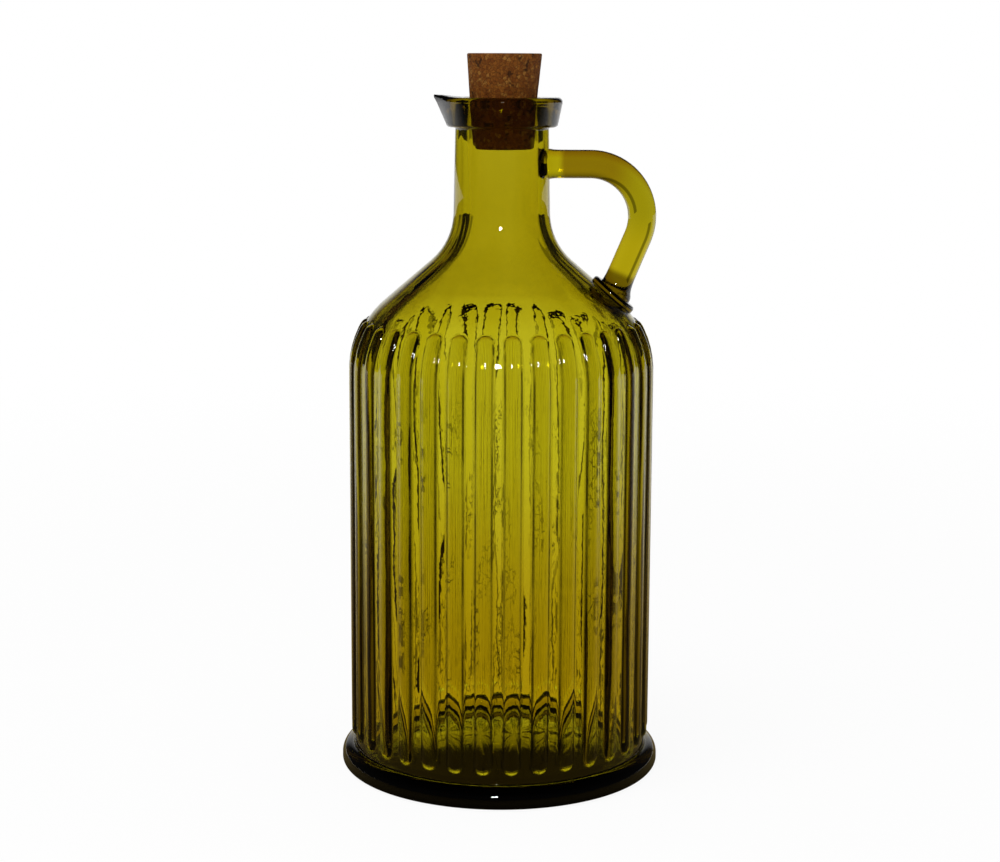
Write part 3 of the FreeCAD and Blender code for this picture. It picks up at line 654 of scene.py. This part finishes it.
rng = np.random.default_rng(11)
dent = np.zeros(cork_r.shape)
for _ in range(PITS):
    height_share = rng.uniform(0, 1)
    pit_r = CORK_LOW_RADIUS + (CORK_TOP_RADIUS - CORK_LOW_RADIUS) * height_share
    pit_turn = rng.uniform(0, 2 * math.pi)
    pit = np.array([pit_r * math.cos(pit_turn), pit_r * math.sin(pit_turn),
                    CORK_LOW + (CORK_TOP - CORK_LOW) * height_share])
    if rng.uniform() < PITS_ON_ENDS:
        pit[:2] *= math.sqrt(rng.uniform())
        pit[2] = CORK_TOP if rng.uniform() < PITS_ON_TOP else CORK_LOW
    wide, deep = rng.uniform(*PIT_WIDE), rng.uniform(*PIT_DEEP)
    gap = np.linalg.norm((spots - pit) * np.array([1, 1, rng.uniform(*PIT_TALL)]), axis=-1)
    dent = np.maximum(dent, deep * np.exp(-(gap / wide) ** 4))
from_middle = spots[..., 2] - (CORK_TOP + CORK_LOW) / 2
on_side = np.abs(from_middle) < (CORK_TOP - CORK_LOW) / 2 - END_MARGIN
none = np.zeros_like(cork_r)
flat = np.stack([np.cos(turns) + none, np.sin(turns) + none, none], -1)
ends = np.stack([none, none, np.sign(from_middle)], -1)
spots -= dent[..., None] * np.where(on_side[..., None], flat, ends)
spots[..., 0] += CORK_SHIFT + (spots[..., 2] - CORK_LEAN_FROM).clip(0) * math.tan(CORK_LEAN)
cork = grid_mesh("cork_stopper_pressed", spots * MM)
for polygon in cork.data.polygons:
    polygon.use_smooth = True
cork.data.set_sharp_from_angle(angle=math.radians(CORK_SHARP))

# the finish: crumbs of two browns with some paler ones, dark seams and patches, and a fine grain
WANDER_SCALE, WANDER, CRUMB_SCALE, PATCH_SCALE, GRAIN_SCALE = 420.0, 1.6 * MM, 780.0, 260.0, 2600.0
CRUMB_DARK, CRUMB_LIGHT = (0.13, 0.035, 0.0035, 1), (0.23, 0.078, 0.009, 1)
CRUMB_PALE, PALE_RANGE = (0.27, 0.115, 0.02, 1), (0.72, 0.95)
SEAM_TINT, SEAM_RANGE, SEAM_SHARE = (0.05, 0.014, 0.002, 1), (0.0, 0.07), 0.7
PATCH_TINT, PATCH_RANGE, PATCH_SHARE = (0.03, 0.01, 0.002, 1), (0.58, 0.66), 0.85
GRAIN_TINT, GRAIN_RANGE, GRAIN_SHARE = (0.08, 0.025, 0.004, 1), (0.4, 0.7), 0.5
RELIEF_HEIGHT, RELIEF_STRENGTH, GRAIN_RELIEF, PATCH_RELIEF = 0.4 * MM, 0.6, 0.4, 1.2
SEAM_DIP, PATCH_DIP = (0.0, 0.12), (0.6, 0.68)
CORK_ROUGHNESS, GRAIN_ROUGHNESS, CORK_SHEEN = 0.75, 0.2, 0.15

cork_finish = bpy.data.materials.new("pressed_cork")
cork_finish.use_nodes = True
start = nodes_of(cork_finish.node_tree)
where = start.node("ShaderNodeTexCoord", None, "Object")
wander = start.node("ShaderNodeTexNoise", None, "Color", Vector=where, Scale=WANDER_SCALE, Detail=2.0)
bent = start.node("ShaderNodeVectorMath", {"operation": "MULTIPLY_ADD"}, "Vector",
                  _0=wander, _1=(WANDER, WANDER, WANDER), _2=where)
crumb = start.node("ShaderNodeTexVoronoi", None, "Color", Vector=bent, Scale=CRUMB_SCALE)
crumb_tone = start.node("ShaderNodeSeparateColor", None, "Red", Color=crumb)
crumb_warmth = start.node("ShaderNodeSeparateColor", None, "Green", Color=crumb)
seam = start.node("ShaderNodeTexVoronoi", {"feature": "DISTANCE_TO_EDGE"}, "Distance",
                  Vector=bent, Scale=CRUMB_SCALE)
grain = start.node("ShaderNodeTexNoise", None, "Fac", Vector=where, Scale=GRAIN_SCALE, Detail=3.0)
patch = start.node("ShaderNodeTexNoise", None, "Fac", Vector=where, Scale=PATCH_SCALE, Detail=3.0)
colour = crumb_tone.blend(CRUMB_DARK, CRUMB_LIGHT)
colour = crumb_warmth.ramp(*PALE_RANGE).blend(colour, CRUMB_PALE)
colour = (seam.ramp(*SEAM_RANGE) * SEAM_SHARE + (1 - SEAM_SHARE)).blend(SEAM_TINT, colour)
colour = (patch.ramp(*PATCH_RANGE) * PATCH_SHARE).blend(colour, PATCH_TINT)
colour = (grain.ramp(*GRAIN_RANGE) * GRAIN_SHARE).blend(colour, GRAIN_TINT)
bumps = grain * GRAIN_RELIEF + seam.ramp(*SEAM_DIP) - patch.ramp(*PATCH_DIP) * PATCH_RELIEF
relief = start.node("ShaderNodeBump", None, "Normal", Strength=RELIEF_STRENGTH,
                    Distance=RELIEF_HEIGHT, Height=bumps)
surface = start.node("ShaderNodeBsdfPrincipled", Base_Color=colour, Normal=relief,
                     Roughness=grain * GRAIN_ROUGHNESS + CORK_ROUGHNESS,
                     Specular_IOR_Level=CORK_SHEEN)
finish_tree(start, "ShaderNodeOutputMaterial", Surface=surface)
cork.data.materials.append(cork_finish)
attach(cork, "root")
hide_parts("cork_stopper")
